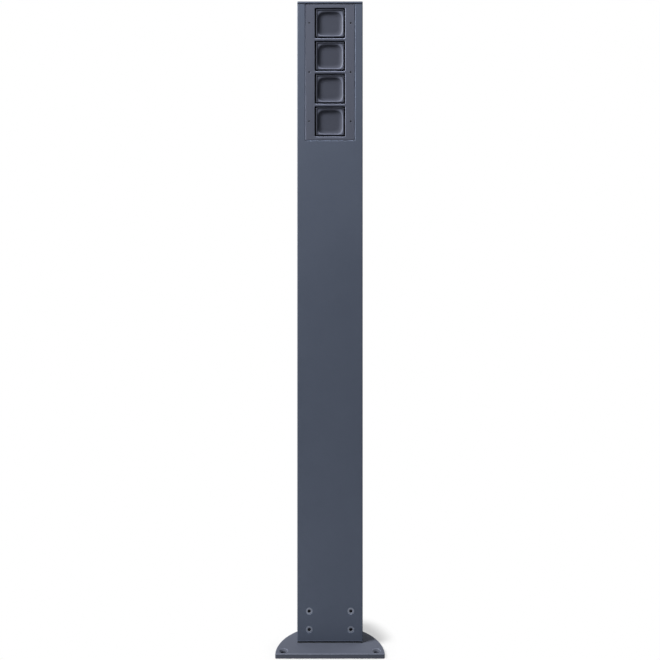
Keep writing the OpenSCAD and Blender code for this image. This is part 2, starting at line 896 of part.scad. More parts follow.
module terminal_block() {
    z0 = term_plate_z + 34 - term_h / 2;
    step = term_w / term_ways;
    color("gainsboro")
    at_front() difference() {
        across(-term_w / 2, term_w / 2) polygon([
            [term_y, z0], [term_y, z0 + term_h], [term_y - 6, z0 + term_h],
            [term_y - term_d, z0 + term_h - 3], [term_y - term_d, z0 + 3], [term_y - 6, z0]
        ]);
        terminal_places() translate([0, 0, -1]) cylinder(r = term_screw_r + screw_gap, h = 8.1);
        for (k = [0 : term_ways - 1])
            translate([(k - (term_ways - 1) / 2) * step, term_y - 3.5, z0 - 1])
                cylinder(r = lead_r + 0.3, h = term_h + 2);
    }
}

module terminal_screws() {
    color(steel)
    at_front() terminal_places() translate([0, 0, 2.5]) difference() {
        cylinder(r = term_screw_r, h = 4.5);
        translate([-0.3, -term_screw_r - 1, -1]) cube([0.6, 2 * term_screw_r + 2, 1.8]);
    }
}

module earth_screw() {
    color(brass)
    at_front() backwards(0, term_y - 3, term_plate_z + 8) difference() {
        union() {
            cylinder(r = 3.5, h = 3);
            cylinder(r = 2, h = 5);
        }
        translate([-0.4, -5, -1]) cube([0.8, 10, 2]);
    }
}

// Three leads, each up the column behind the outlets with a branch into every housing
module wiring_leads() {
    z0 = term_plate_z + 34 + term_h / 2 - 5;
    step = term_w / term_ways;
    lead_x = [-step, 0, step];
    lead_color = ["saddlebrown", "forestgreen", "royalblue"];
    bend_y = term_y - 3.5;
    at_front() for (k = [0 : 2]) color(lead_color[k]) translate([lead_x[k], 0, 0]) {
        translate([0, bend_y, z0]) cylinder(r = lead_r, h = panel_z0 + 6 - z0);
        translate([0, bend_y, panel_z0 + 6]) sphere(lead_r);
        translate([0, lead_y, panel_z0 + 6]) rotate([-90, 0, 0]) cylinder(r = lead_r, h = bend_y - lead_y);
        translate([0, lead_y, panel_z0 + 6]) sphere(lead_r);
        translate([0, lead_y, panel_z0 + 6]) cylinder(r = lead_r, h = socket_z[0] - panel_z0 - 6);
        translate([0, lead_y, socket_z[0]]) sphere(lead_r);
        for (z = socket_z)
            translate([0, base_back, z]) rotate([-90, 0, 0]) cylinder(r = lead_r, h = lead_y - base_back);
    }
}

base_plate();
foot_gasket();
foot_bracket();
foot_bolts();
column_screws();
cable_grommet();
column_profile();
top_cap();
cap_seal();
cap_screws();
front_panel();
panel_seal();
panel_screws();
panel_studs();
stud_nuts();
terminal_plate();
terminal_block();
terminal_screws();
earth_screw();
wiring_leads();
for (i = [1 : outlets]) {
    at_outlet(i) lid();
    at_outlet(i) lid_seal();
    at_outlet(i) hinge_pin();
    at_outlet(i) lid_spring();
    at_outlet(i) socket_frame();
    at_outlet(i) plug_well();
    at_outlet(i) earth_clip();
    at_outlet(i) contact_sleeves();
    at_outlet(i) terminal_housing();
}
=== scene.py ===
"""A garden socket post, dressed for a catalogue picture: anthracite powder-coated aluminium on a
half-round foot plate, with four sprung-lid outlets behind a flush front panel."""
import math

import bmesh
import bpy
from mathutils import Matrix, Vector
from mathutils.geometry import tessellate_polygon


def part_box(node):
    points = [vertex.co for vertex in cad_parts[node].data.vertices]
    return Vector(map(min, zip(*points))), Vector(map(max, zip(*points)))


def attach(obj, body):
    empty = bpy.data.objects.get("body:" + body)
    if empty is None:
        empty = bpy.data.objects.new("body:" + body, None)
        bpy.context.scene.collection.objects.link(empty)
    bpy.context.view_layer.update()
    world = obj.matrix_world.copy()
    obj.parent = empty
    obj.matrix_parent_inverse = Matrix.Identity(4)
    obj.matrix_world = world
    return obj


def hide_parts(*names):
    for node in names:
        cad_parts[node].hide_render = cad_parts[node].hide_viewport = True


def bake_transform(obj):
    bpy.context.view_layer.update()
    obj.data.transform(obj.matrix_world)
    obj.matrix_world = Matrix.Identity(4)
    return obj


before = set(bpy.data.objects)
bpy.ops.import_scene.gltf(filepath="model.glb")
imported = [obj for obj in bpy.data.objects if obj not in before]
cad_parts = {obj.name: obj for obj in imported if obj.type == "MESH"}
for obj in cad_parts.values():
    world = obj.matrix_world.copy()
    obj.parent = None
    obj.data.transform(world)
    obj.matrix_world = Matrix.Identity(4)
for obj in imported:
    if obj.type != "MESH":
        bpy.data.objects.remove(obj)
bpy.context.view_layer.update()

scene = bpy.context.scene
scene.view_settings.view_transform = "Standard"
mm = 0.001


# The photographer's side: a level camera at half the post's height, so that the post's sides stay
# upright in the picture and the foot plate's top shows below it.
camera = bpy.data.objects.new("camera", bpy.data.cameras.new("camera"))
scene.collection.objects.link(camera)
scene.camera = camera
camera.location = (0, -1.300, 0.688)
camera.rotation_euler = (math.radians(90), 0, 0)
camera.data.sensor_width = 36
camera.data.lens = 32.307
camera.data.clip_start = 0.01


# Studio light: a large softbox far up on the left, which grazes the front and leaves the hollows'
# upper left corners dark, a small one nearer the top, a weak one low before the foot, and fills
# behind and on the right.
def lamp(name, place, aim, size, power):
    """A square softbox at a place, facing an aim."""
    made = bpy.data.objects.new(name, bpy.data.lights.new(name, "AREA"))
    made.data.size = size
    made.data.energy = power
    made.location = place
    facing = Vector(aim) - Vector(place)
    made.rotation_euler = facing.to_track_quat("-Z", "Y").to_euler()
    scene.collection.objects.link(made)


lamp("key", (-2.8, -1.3, 3.9), (0, 0, 0.8), size=1.1, power=262)
lamp("top", (-0.95, -0.5, 2.4), (0, 0, 1.0), size=0.5, power=46)
lamp("low", (-0.2, -0.5, 0.03), (0, -0.1, 0.01), size=0.2, power=0.72)
lamp("back_left", (-1.8, 1.6, 1.8), (0, 0, 0.7), size=1.2, power=20)
lamp("back_right", (1.9, 1.4, 1.5), (0, 0, 0.7), size=1.2, power=20)
lamp("right", (2.3, 0.95, 1.1), (0, 0, 0.7), size=1.2, power=24)


class Shade:
    """A socket in a material's nodes: arithmetic on it adds the Math nodes."""

    def __init__(self, tree, socket=None):
        self.tree = tree
        self.socket = socket

    def node(self, kind, settings=None, inputs=None, output=0):
        """A new node of a kind, its settings made first, then its inputs set or linked."""
        made = self.tree.nodes.new(kind)
        for name, setting in (settings or {}).items():
            setattr(made, name, setting)
        for name, value in (inputs or {}).items():
            if isinstance(value, Shade):
                self.tree.links.new(value.socket, made.inputs[name])
            else:
                made.inputs[name].default_value = value
        return Shade(self.tree, made.outputs[output] if len(made.outputs) else None)

    def maths(self, operation, first, second):
        return self.node("ShaderNodeMath", {"operation": operation}, {0: first, 1: second})

    def __add__(self, other):
        return self.maths("ADD", self, other)

    __radd__ = __add__

    def __sub__(self, other):
        return self.maths("SUBTRACT", self, other)

    def __rsub__(self, other):
        return self.maths("SUBTRACT", other, self)

    def __mul__(self, other):
        return self.maths("MULTIPLY", self, other)

    __rmul__ = __mul__

    def __gt__(self, other):
        return self.maths("GREATER_THAN", self, other)

    def __lt__(self, other):
        return self.maths("LESS_THAN", self, other)

    def __abs__(self):
        return self.maths("ABSOLUTE", self, 0)

    def most(self, other):
        """The larger of this value and another."""
        return self.maths("MAXIMUM", self, other)

    def fade(self, start, end):
        """0 at a start value and 1 at an end value, which may be the lower of the two."""
        return self.node("ShaderNodeMapRange", inputs={
            "Value": self, "From Min": start, "From Max": end, "To Min": 0, "To Max": 1})

    def pick(self, low, high):
        """The colour between two colours at this value."""
        return self.node("ShaderNodeMix", {"data_type": "RGBA"}, {0: self, 6: low, 7: high}, output=2)

    def relief(self, strength, depth):
        """The normal of a surface that has this value for its height, up to a depth."""
        return self.node("ShaderNodeBump", inputs={
            "Strength": strength, "Distance": depth, "Height": self})

    def along(self, axis, kind="Object"):
        """X, Y or Z in the object's own space, of the place or of the surface's normal."""
        here = self.node("ShaderNodeTexCoord", output=kind)
        return here.node("ShaderNodeSeparateXYZ", inputs={"Vector": here}, output=axis)

    def noise(self, scale, detail=2.0, roughness=0.5):
        """Noise over the object's own space, with so many cycles a metre."""
        place = self.node("ShaderNodeTexCoord", output="Object")
        return place.node("ShaderNodeTexNoise", {"noise_dimensions": "3D"}, {
            "Vector": place, "Scale": scale, "Detail": detail, "Roughness": roughness})


def finish(name, recipe):
    """A material whose surface is what the recipe makes in an empty node tree."""
    made = bpy.data.materials.new(name)
    made.use_nodes = True
    tree = made.node_tree
    tree.nodes.clear()
    surface = recipe(Shade(tree))
    surface.node("ShaderNodeOutputMaterial", inputs={"Surface": surface})
    return made


# The room: white all round to the lens and in reflections, and a pale fill on everything else.
white = (1, 1, 1, 1)
pale_blue = (0.93, 0.96, 1, 1)
fill_strength = 0.03
world = bpy.data.worlds.new("room")
world.use_nodes = True
world.node_tree.nodes.clear()
scene.world = world


def seen_directly(shade):
    """1 for the rays of the camera, of reflections and of clear materials, and 0 for light."""
    def ray(kind):
        return shade.node("ShaderNodeLightPath", output=kind)
    return ray("Is Camera Ray").most(ray("Is Glossy Ray")).most(ray("Is Transmission Ray"))


room = Shade(world.node_tree)
white_wall = room.node("ShaderNodeBackground", inputs={"Color": white, "Strength": 1})
fill_light = room.node("ShaderNodeBackground", inputs={"Color": pale_blue, "Strength": fill_strength})
walls = room.node("ShaderNodeMixShader", inputs={0: seen_directly(room), 1: fill_light, 2: white_wall})
room.node("ShaderNodeOutputWorld", inputs={"Surface": walls})


# The floor: a white sweep that bounces light. It shows the soft shadow close to the foot, which
# fades to plain white between two distances from the post's middle.
floor_half = 6
floor_drop = 0.05 * mm
shadow_full = 0.1
shadow_reach = 0.155
paper_grey = (0.3, 0.3, 0.3, 1)
paper_glow = 0.44


def floor_finish(shade):
    place = shade.node("ShaderNodeTexCoord", output="Object")
    distance = place.node("ShaderNodeVectorMath", {"operation": "LENGTH"}, {0: place}, output="Value")
    near = distance.node("ShaderNodeMapRange", {"interpolation_type": "SMOOTHSTEP"}, {
        "Value": distance, "From Min": shadow_full, "From Max": shadow_reach, "To Min": 1, "To Max": 0})
    paper = shade.node("ShaderNodeBsdfDiffuse", inputs={"Color": paper_grey})
    glow = shade.node("ShaderNodeEmission", inputs={"Color": white, "Strength": paper_glow})
    plain = shade.node("ShaderNodeEmission", inputs={"Color": white, "Strength": 1})
    shadowed = shade.node("ShaderNodeAddShader", inputs={0: paper, 1: glow})
    shown = shade.node("ShaderNodeMixShader", inputs={0: near, 1: plain, 2: shadowed})
    return shade.node("ShaderNodeMixShader", inputs={0: seen_directly(shade), 1: paper, 2: shown})


floor_mesh = bpy.data.meshes.new("floor")
floor_mesh.from_pydata([(x * floor_half, y * floor_half, -floor_drop) for x, y in (
    (-1, -1), (1, -1), (1, 1), (-1, 1))], [], [(0, 1, 2, 3)])
floor_mesh.materials.append(finish("white_floor", floor_finish))
floor = bpy.data.objects.new("floor", floor_mesh)
scene.collection.objects.link(floor)


# Foot plate: 10 mm aluminium plate cut to a half round, its top edge chamfered, with two
# countersunk anchor holes and, under the column, the cable's hole and four bolt holes.
# It is powder-coated like the column.
plate_low, plate_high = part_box("base_plate")
plate_top = plate_high.z
plate_r = (plate_high.x - plate_low.x) / 2
plate_back_y = plate_high.y - plate_r
plate_corner = 3 * mm
plate_chamfer = 1 * mm
chamfer_ease = 0.1 * mm
hole_edge = 0.3 * mm
anchor_x = 98 * mm
anchor_y = plate_low.y + 12.5 * mm
anchor_r = 5.5 * mm
anchor_head_r = 9.5 * mm
anchor_ease = 0.15 * mm
column_low, column_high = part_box("column_profile")
front_y = column_low.y
cable_y = front_y + 41.5 * mm
cable_hole_r = 14.95 * mm
bolt_offsets = ((40 * mm, 19.2 * mm), (32 * mm, 40 * mm))
bolt_places = [(s * x, front_y + y) for s in (-1, 1) for x, y in bolt_offsets]
bolt_bore_r = 4.05 * mm
bolt_sink_r = 8.1 * mm


def arc(centre, radius, start, end, steps=12):
    """Points of an arc in a drawing, from one angle to another in degrees."""
    turns = [math.radians(start + (end - start) * k / steps) for k in range(steps + 1)]
    return [(centre[0] + radius * math.cos(a), centre[1] + radius * math.sin(a)) for a in turns]


def circle(centre, radius, steps=48):
    return arc(centre, radius, 0, 360, steps)[:-1]


def inset(line, distance):
    """A closed drawing moved to its left by a distance, its corners mitred."""
    least_share = 0.3
    points = [Vector(p) for p in line]
    moved = []
    for before, here, after in zip(points[-1:] + points[:-1], points, points[1:] + points[:1]):
        a = (here - before).normalized()
        b = (after - here).normalized()
        mitre = Vector((-a.y - b.y, a.x + b.x)).normalized()
        share = mitre.dot(Vector((-a.y, a.x)))
        moved.append(tuple(here + mitre * distance / max(share, least_share)))
    return moved


def rounded_foot(line, low, radius=0.3 * mm, steps=3):
    """Rings round the lower edge of a slab's side, which is rounded."""
    quarter = [math.pi / 2 * k / steps for k in range(steps + 1)]
    return [(inset(line, radius * (1 - math.sin(a))), low + radius * (1 - math.cos(a))) for a in quarter]


def edges(line, low, high, low_round=0.3 * mm, high_round=0.3 * mm):
    """Rings up the side of a slab, with its lower and its upper edge rounded."""
    top = rounded_foot(line, 0, high_round)
    return rounded_foot(line, low, low_round) + [(ring, high - depth) for ring, depth in reversed(top)]


def clockwise(line):
    return line[::-1]


def drilled(centre, steps, points=48):
    """Rings of a round hole in a slab, from (radius, height) steps."""
    return [(clockwise(circle(centre, r, points)), height) for r, height in steps]


def closed_mesh(solid):
    """The mesh of a finished solid, its faces turned outwards."""
    bmesh.ops.recalc_face_normals(solid, faces=solid.faces)
    mesh = bpy.data.meshes.new("solid")
    solid.to_mesh(mesh)
    solid.free()
    return mesh


def slab(outer, holes=(), high_pits=(), upright=False):
    """A closed solid between its lowest and highest rings, with holes through it and pits in its
    upper side. An upright slab's drawing is (x, z), and its heights are depths behind the
    column's front."""
    solid = bmesh.new()

    def place(u, v, height):
        return (u, front_y + height, v) if upright else (u, v, height)

    def wall(rings):
        made = [[solid.verts.new(place(u, v, height)) for u, v in line] for line, height in rings]
        for lower, upper in zip(made, made[1:]):
            for k in range(len(lower)):
                solid.faces.new((lower[k - 1], lower[k], upper[k], upper[k - 1]))
        return made

    def cover(loops):
        corners = [v for loop in loops for v in loop]
        flat = [[Vector((v.co.x, v.co.z if upright else v.co.y, 0)) for v in loop] for loop in loops]
        for triangle in tessellate_polygon(flat):
            solid.faces.new([corners[k] for k in triangle])

    sides = [wall(rings) for rings in [outer, *holes]]
    pits = [wall(pit) for pit in high_pits]
    cover([side[0] for side in sides])
    cover([side[-1] for side in sides] + [pit[0] for pit in pits])
    for pit in pits:
        solid.faces.new(pit[-1])
    return closed_mesh(solid)


def as_shown(made):
    """A new mesh of an object with its modifiers applied."""
    bpy.context.view_layer.update()
    return bpy.data.meshes.new_from_object(made.evaluated_get(bpy.context.evaluated_depsgraph_get()))


def smooth(mesh, angle=32, face_weight=80):
    """Curved faces shaded smooth, edges past an angle kept crisp, and flat faces kept flat."""
    mesh.shade_smooth()
    mesh.set_sharp_from_angle(angle=math.radians(angle))
    bare = bpy.data.objects.new("bare", mesh)
    scene.collection.objects.link(bare)
    weigh = bare.modifiers.new("weigh", "WEIGHTED_NORMAL")
    weigh.keep_sharp = True
    weigh.weight = face_weight
    shaded = as_shown(bare)
    bpy.data.objects.remove(bare)
    return shaded


def piece(name, mesh, material, nodes, body="post"):
    """A finished piece that stands for its nodes and rides on their body."""
    mesh = smooth(mesh)
    mesh.name = name
    mesh.materials.clear()
    mesh.materials.append(material)
    made = bpy.data.objects.new(name, mesh)
    scene.collection.objects.link(made)
    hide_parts(*nodes)
    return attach(made, body) if body else made


def tint(colour, strength=1):
    """A colour made lighter or darker, as a socket takes it."""
    return (*[c * strength for c in colour], 1)


# Edges found here are painted lighter: partly worn, partly a painted highlight where edges catch the light.
def worn_and_lit_edges(shade, width):
    """1 along edges, fading out over a width, and 0 on the faces between them."""
    eased = shade.node("ShaderNodeBevel", {"samples": 6}, {"Radius": width})
    true = shade.node("ShaderNodeNewGeometry", output="Normal")
    same = eased.node("ShaderNodeVectorMath", {"operation": "DOT_PRODUCT"},
                      {0: eased, 1: true}, output="Value")
    return same.fade(0.99, 0.8)


# How much lighter edges are painted: worn coat plus a painted highlight; up-facing edges lighter still, pale
# dust plus a painted highlight.
wear_and_highlight_tint = 2.2
dust_and_highlight_tint = 4.4
edge_start = 0.05 * mm


def powder_coat(base, light, broken_edge, gloss=0.12):
    """Fine matt powder coat: a soft orange peel under a grain of fine specks, painted lighter along edges,
    where the coat is thin and as a painted highlight, and lighter still on edges that face up, as pale dust
    and a painted highlight from the light above."""
    def recipe(shade):
        grain = shade.noise(1500, detail=2)
        peel = shade.noise(420, detail=1)
        cloud = shade.noise(9, detail=4, roughness=0.6)
        coat = (0.5 * cloud + 0.5 * grain).pick(tint(base, 0.86), tint(light))
        edge = broken_edge(shade)
        patchy = 0.6 + 0.4 * shade.noise(130, detail=3)
        # Edges painted lighter for worn coat and a painted highlight; those facing up paler still, for dust
        # and a painted highlight from above.
        rubbed_and_lit = (0.6 * worn_and_lit_edges(shade, 1 * mm)).most(edge) * patchy
        pale_share = edge * (shade.along("Z", "Normal") > 0.4) * patchy
        return shade.node("ShaderNodeBsdfPrincipled", inputs={
            "Base Color": pale_share.pick(rubbed_and_lit.pick(coat, tint(light, wear_and_highlight_tint)), tint(light, dust_and_highlight_tint)),
            "Roughness": 0.5 + 0.14 * grain + 0.08 * cloud - 0.1 * rubbed_and_lit,
            "Specular IOR Level": gloss,
            "Normal": (0.6 * peel + 0.4 * grain).relief(0.35, 0.05 * mm)})
    return recipe


def plate_edge(shade):
    """Faint lighter paint on the plate's chamfer, just under its top: wear, and a painted highlight."""
    drop = plate_top - shade.along("Z")
    return (drop > edge_start) * (drop < plate_chamfer) * 0.2


plate_coat = finish("plate_powder_coat", powder_coat(
    (0.062, 0.069, 0.093), (0.076, 0.084, 0.109), plate_edge, gloss=0.1))

plate_line = (
    arc((-plate_r + plate_corner, plate_low.y + plate_corner), plate_corner, 180, 270, 8)
    + arc((plate_r - plate_corner, plate_low.y + plate_corner), plate_corner, 270, 360, 8)
    + arc((0, plate_back_y), plate_r, 0, 180, 144)
)
chamfer_steps = (
    (0, plate_chamfer + 1.5 * chamfer_ease), (chamfer_ease, plate_chamfer - 0.5 * chamfer_ease),
    (plate_chamfer - 0.5 * chamfer_ease, chamfer_ease), (plate_chamfer + 1.5 * chamfer_ease, 0))
plate_side = rounded_foot(plate_line, plate_low.z)
plate_side += [(inset(plate_line, cut_in), plate_top - down) for cut_in, down in chamfer_steps]
anchor_steps = [
    (anchor_r + hole_edge, 0), (anchor_r, hole_edge), (anchor_r, plate_top - 4.1 * mm),
    (anchor_r + anchor_ease, plate_top - 3.8 * mm), (anchor_head_r - anchor_ease, plate_top - anchor_ease),
    (anchor_head_r + 0.1 * mm, plate_top)]
cable_steps = [(cable_hole_r + hole_edge, 0), (cable_hole_r, hole_edge), (cable_hole_r, plate_top)]
bolt_steps = [(bolt_sink_r, 0), (bolt_bore_r, bolt_sink_r - bolt_bore_r), (bolt_bore_r, plate_top)]
plate_holes = [drilled((s * anchor_x, anchor_y), anchor_steps) for s in (-1, 1)]
plate_holes += [drilled((0, cable_y), cable_steps)]
plate_holes += [drilled(place, bolt_steps) for place in bolt_places]
piece("foot_plate", slab(plate_side, plate_holes), plate_coat, ["base_plate"])


# Foot gasket: a ring of black rubber that the bracket's edge holds on the plate; the column's end
# stays just above it, and the gap reads as a dark line.
gasket_low, gasket_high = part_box("foot_gasket")
column_r = (column_high.x - column_low.x) / 2
column_back_y = column_high.y - column_r
gasket_inset = 0.3 * mm
gasket_w = 10 * mm


def half_round(setback, steps=96):
    """The column's outline in plan, moved inwards, without its front corners' rounding."""
    radius = column_r - setback
    below = column_back_y - front_y - setback
    start = math.degrees(math.asin(-below / radius)) if below < 0 else 0
    ends = [(-radius, front_y + setback), (radius, front_y + setback)] if below > 0 else []
    return ends + arc((0, column_back_y), radius, start, 180 - start, steps)


def half_ring(setback, width, low, high):
    """A flat ring that follows the column's outline, its edges rounded."""
    return slab(edges(half_round(setback), low, high),
                [edges(clockwise(half_round(setback + width)), low, high)])


def rubber(clean, dusty):
    """Matt black rubber under a layer of dust."""
    def recipe(shade):
        pale_share = shade.noise(60, detail=4)
        grain = shade.noise(1800, detail=2)
        return shade.node("ShaderNodeBsdfPrincipled", inputs={
            "Base Color": pale_share.pick(tint(clean), tint(dusty)), "Roughness": 0.68 + 0.2 * pale_share,
            "Specular IOR Level": 0.3, "Normal": grain.relief(0.4, 0.04 * mm)})
    return recipe


dusty_rubber = finish("dusty_rubber", rubber((0.012, 0.014, 0.018), (0.024, 0.027, 0.034)))
piece("foot_gasket_ring", half_ring(gasket_inset, gasket_w, gasket_low.z, gasket_high.z),
      dusty_rubber, ["foot_gasket"])


# Column: one extruded aluminium profile, flat in front and half round behind, 3 mm thick, sawn to
# length and powder-coated. Inside the front it has ledges and screw channels, then four screw ports
# for the cap and two rails for the terminal plate. The front wall is milled away for the panel.
wall_t = 3 * mm
front_corner = 2 * mm
ledge_x = 41 * mm
ledge_back = 6.5 * mm
channel_x = 49 * mm
channel_back = 13.5 * mm
screw_x = 45 * mm
slot_half = 1.55 * mm
slot_back = 11.5 * mm
port_r = 5 * mm
port_bore_r = 2.1 * mm
port_front = (60 * mm, 9.5 * mm)
port_back_angle = 50
port_back_dist = 64 * mm
rail_x = (24.5 * mm, 27.5 * mm, 30 * mm)
rail_y = (56 * mm, 58.6 * mm, 60.8 * mm)
panel_low, panel_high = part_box("front_panel")
panel_gap = 0.5 * mm
panel_corner = 0.4 * mm
back_centre = (0, column_back_y)
inner_r = column_r - wall_t
nearly_back = 89


def behind(y):
    """World Y of a depth behind the column's front face."""
    return front_y + y


def wall_angle(x=None, y=None):
    """Direction, from the back arc's centre, of the inner wall's point at an x or a y."""
    return math.degrees(math.acos(x / inner_r) if y is None else math.asin((y - column_back_y) / inner_r))


port_back = (port_back_dist * math.cos(math.radians(port_back_angle)),
             column_back_y + port_back_dist * math.sin(math.radians(port_back_angle)))
port_spread = math.degrees(math.acos(
    (inner_r ** 2 + port_back_dist ** 2 - port_r ** 2) / (2 * inner_r * port_back_dist)))
meets = [arc(back_centre, inner_r, port_back_angle + s * port_spread, 0, 1)[0] for s in (-1, 1)]
port_turns = [math.degrees(math.atan2(p[1] - port_back[1], p[0] - port_back[0])) for p in meets]
port_dip = math.degrees(math.asin((port_front[1] - ledge_back) / port_r))
half_inside = (
    [(ledge_x, behind(wall_t)), (ledge_x, behind(channel_back)), (channel_x, behind(channel_back)),
     (channel_x, behind(ledge_back))]
    + arc((port_front[0], behind(port_front[1])), port_r, 180 + port_dip, -port_dip, 16)
    + arc(back_centre, inner_r, wall_angle(y=behind(ledge_back)), port_back_angle - port_spread, 40)[:-1]
    + arc(port_back, port_r, port_turns[0], port_turns[1] - 360, 24)
    + arc(back_centre, inner_r, port_back_angle + port_spread, wall_angle(x=rail_x[2]), 8)[1:]
    + [(rail_x[2], behind(rail_y[0])), (rail_x[0], behind(rail_y[0])), (rail_x[0], behind(rail_y[1])),
       (rail_x[1], behind(rail_y[1])), (rail_x[1], behind(rail_y[2])), (rail_x[0], behind(rail_y[2]))]
    + arc(back_centre, inner_r, wall_angle(x=rail_x[0]), nearly_back, 16)
)
column_line = (
    arc((-column_r + front_corner, behind(front_corner)), front_corner, 180, 270, 8)
    + arc((column_r - front_corner, behind(front_corner)), front_corner, 270, 360, 8)
    + arc(back_centre, column_r, 0, 180, 144)
)
column_inside = half_inside + [(-x, y) for x, y in reversed(half_inside)]
ports = [(s * x, y) for s in (-1, 1) for x, y in ((port_front[0], behind(port_front[1])), port_back)]
column_z = (column_low.z, column_high.z)
column_holes = [edges(clockwise(column_inside), *column_z)]
column_holes += [[(clockwise(circle(p, port_bore_r, 24)), z) for z in column_z] for p in ports]
column_holes += [[(clockwise([
    (x - slot_half, behind(wall_t)), (x + slot_half, behind(wall_t)),
    (x + slot_half, behind(slot_back)), (x - slot_half, behind(slot_back))]), z) for z in column_z]
    for x in (-screw_x, screw_x)]


def box_line(left, right, low, high, corner=0.3 * mm, steps=4):
    """A rectangle in a drawing, its corners rounded."""
    return (arc((left + corner, low + corner), corner, 180, 270, steps)
            + arc((right - corner, low + corner), corner, 270, 360, steps)
            + arc((right - corner, high - corner), corner, 0, 90, steps)
            + arc((left + corner, high - corner), corner, 90, 180, steps))


def cut(mesh, *tools):
    """The mesh with each tool's volume taken away."""
    body = bpy.data.objects.new("body", mesh)
    scene.collection.objects.link(body)
    used = [body]
    for tool in tools:
        cutter = bpy.data.objects.new("cutter", tool)
        scene.collection.objects.link(cutter)
        used.append(cutter)
        take = body.modifiers.new("cut", "BOOLEAN")
        take.operation = "DIFFERENCE"
        take.solver = "MANIFOLD"
        take.object = cutter
    result = as_shown(body)
    for made in used:
        bpy.data.objects.remove(made)
    return result


def countersink(x, z, shank_r, head_r, depth, steps=40):
    """A tool for a screw's hole from the column's front: a broken edge, a cone and a shank."""
    profile = [(head_r + 1.3 * mm, -1 * mm), (head_r + 0.15 * mm, -0.05 * mm), (head_r, 0.1 * mm),
               (shank_r, head_r - shank_r + 0.1 * mm), (shank_r, depth)]
    return slab([(circle((x, z), r, steps), height) for r, height in profile], upright=True)


column_screw_z = [column_low.z + 25 * mm, column_low.z + 65 * mm]
column_screw_places = [(x, z) for x in (-screw_x, screw_x) for z in column_screw_z]
past = 2 * mm
past_top = 50 * mm
broken = 0.8 * mm
window_line = box_line(panel_low.x - panel_gap, panel_high.x + panel_gap, panel_low.z - panel_gap,
                       column_high.z + past_top, panel_corner)
window_tool = slab([(window_line, wall_t), (window_line, broken), (inset(window_line, -broken), 0),
                    (inset(window_line, -broken), -past)], upright=True)
front_flat = 60 * mm
cap_end = 4 * mm
sawn_end = 0.8 * mm


# Where the front's coat is painted lighter, as wear and a painted highlight: not the top by the cap, which
# lies in its shade.
def front_edge(shade):
    """1 on the edges broken in the front, which lie just behind its face, and on the sawn end."""
    depth = shade.along("Y") - front_y
    height = shade.along("Z")
    inner = (abs(shade.along("X")) < front_flat) * (height < column_high.z - cap_end)
    return ((depth > 0.04 * mm) * (depth < broken) * inner).most(height < column_low.z + sawn_end)


anthracite = finish("anthracite_powder_coat", powder_coat(
    (0.063, 0.077, 0.111), (0.083, 0.099, 0.138), front_edge))
column_mesh = cut(slab(edges(column_line, *column_z), column_holes), window_tool,
                  *[countersink(x, z, shank_r=4.05 * mm, head_r=7.4 * mm, depth=20 * mm)
                    for x, z in column_screw_places])
piece("column_shell", column_mesh, anthracite, ["column_profile"])


# Column screws: four M8 countersunk hexagon-socket screws in stainless steel, flush with the front,
# which hold the column on the bracket inside its foot.
def turned(rings, points=48, closed=False):
    """A turned solid about +Z from (radius, height) rings; a radius may be a function of the angle."""
    solid = bmesh.new()
    turns = [2 * math.pi * k / points for k in range(points)]

    def ring(radius, height):
        reach = [radius(a) if callable(radius) else radius for a in turns]
        return [solid.verts.new((r * math.cos(a), r * math.sin(a), height)) for r, a in zip(reach, turns)]

    made = [ring(*step) for step in rings]
    for first, second in zip(made, made[1:] + made[:1] if closed else made[1:]):
        for k in range(points):
            solid.faces.new((first[k - 1], first[k], second[k], second[k - 1]))
    if not closed:
        solid.faces.new(made[0])
        solid.faces.new(made[-1])
    return closed_mesh(solid)


def hexagon(radius):
    """Radius function of a hexagon whose corners lie at a radius."""
    flat = radius * math.cos(math.pi / 6)
    return lambda a: flat / math.cos((a % (math.pi / 3)) - math.pi / 6)


def socket_screw(shank_r, head_r, length):
    """A countersunk hexagon-socket screw, its face at 0 and pointing along +Z."""
    socket = shank_r * 0.95
    depth = shank_r * 0.9
    bevel = 0.08 * shank_r
    head_h = head_r - shank_r
    return turned([
        (hexagon(socket * 0.5), depth), (hexagon(socket), depth - bevel), (hexagon(socket), bevel),
        (socket + bevel, 0), (head_r - bevel, 0), (head_r, bevel * 0.8), (head_r - 0.1 * mm, bevel * 2),
        (shank_r, head_h), (shank_r, length - 2 * bevel), (shank_r * 0.8, length)])


def copies(mesh, places, turn=Matrix.Identity(4)):
    """One mesh that repeats another at each place, turned the same way."""
    solid = bmesh.new()
    for place in places:
        one = mesh.copy()
        one.transform(Matrix.Translation(place) @ turn)
        solid.from_mesh(one)
        bpy.data.meshes.remove(one)
    group = bpy.data.meshes.new("group")
    solid.to_mesh(group)
    solid.free()
    return group


inwards = Matrix.Rotation(math.radians(-90), 4, "X")
downwards = Matrix.Rotation(math.radians(180), 4, "X")


# Mask for painted shade: how closed in a place is, from ambient occlusion.
def recess_shade(shade, reach):
    """1 deep in a socket or a corner, within a reach, and 0 in the open."""
    openness = shade.node("ShaderNodeAmbientOcclusion", {"samples": 8, "only_local": True},
                          {"Distance": reach}, output="AO")
    return openness.fade(0.8, 0.5)


